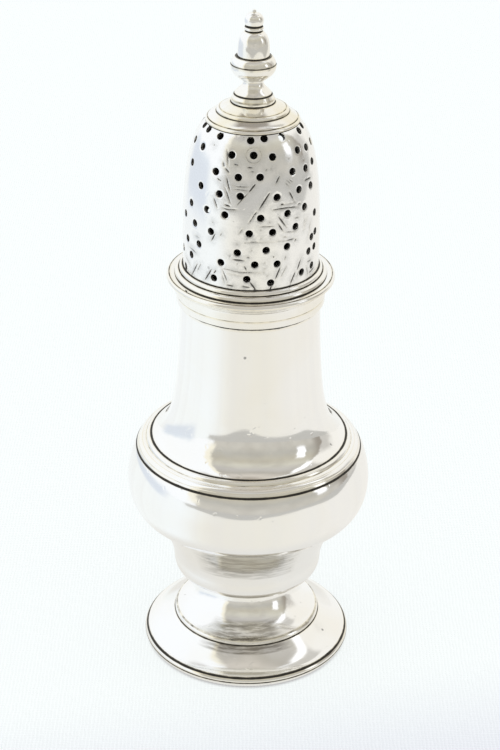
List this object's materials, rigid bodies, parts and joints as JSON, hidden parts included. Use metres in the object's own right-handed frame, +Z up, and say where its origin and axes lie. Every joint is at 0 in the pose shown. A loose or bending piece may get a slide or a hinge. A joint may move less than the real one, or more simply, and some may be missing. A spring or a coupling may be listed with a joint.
{
  "type": "sugar caster",
  "caption": "Baluster sugar caster in polished silver: hollow body on a spreading foot, and a pierced, chased dome cover with a turned finial that lifts out of the mouth.",
  "frame": {"origin": "middle of the foot's underside, on the surface that the caster stands on", "axes": "+Z up the caster's own axis to the tip of the finial, -Y towards the side that was pictured"},
  "size_m": [0.0576, 0.0576, 0.1599],
  "materials": {
    "silver_sheet": "old polished silver sheet, raised, with fine scratches",
    "silver_moulding": "polished silver wire with dark oxide left in the grooves",
    "silver_pierced": "polished silver sheet, drilled and chased, oxide in the cuts",
    "silver_cast": "cast and turned silver, polished",
    "silver_sleeve": "plain silver, duller where it rubs in the mouth"
  },
  "bodies": {
    "body": {"foot_rim_wire": "silver_moulding", "foot_tread": "silver_sheet", "foot_stem": "silver_sheet", "lower_bowl": "silver_sheet", "belly": "silver_sheet", "girdle_wire": "silver_moulding", "neck": "silver_sheet", "mouth_rim": "silver_moulding"},
    "cover": {"cover_sleeve": "silver_sleeve", "cover_wires": "silver_moulding", "pierced_dome": "silver_pierced", "crown": "silver_moulding", "finial": "silver_cast"}
  },
  "joints": [
    {"name": "cover_lift", "type": "slide", "parent": "body", "child": "cover", "axis": [0, 0, 1], "range_m": [0, 0.06]}
  ]
}
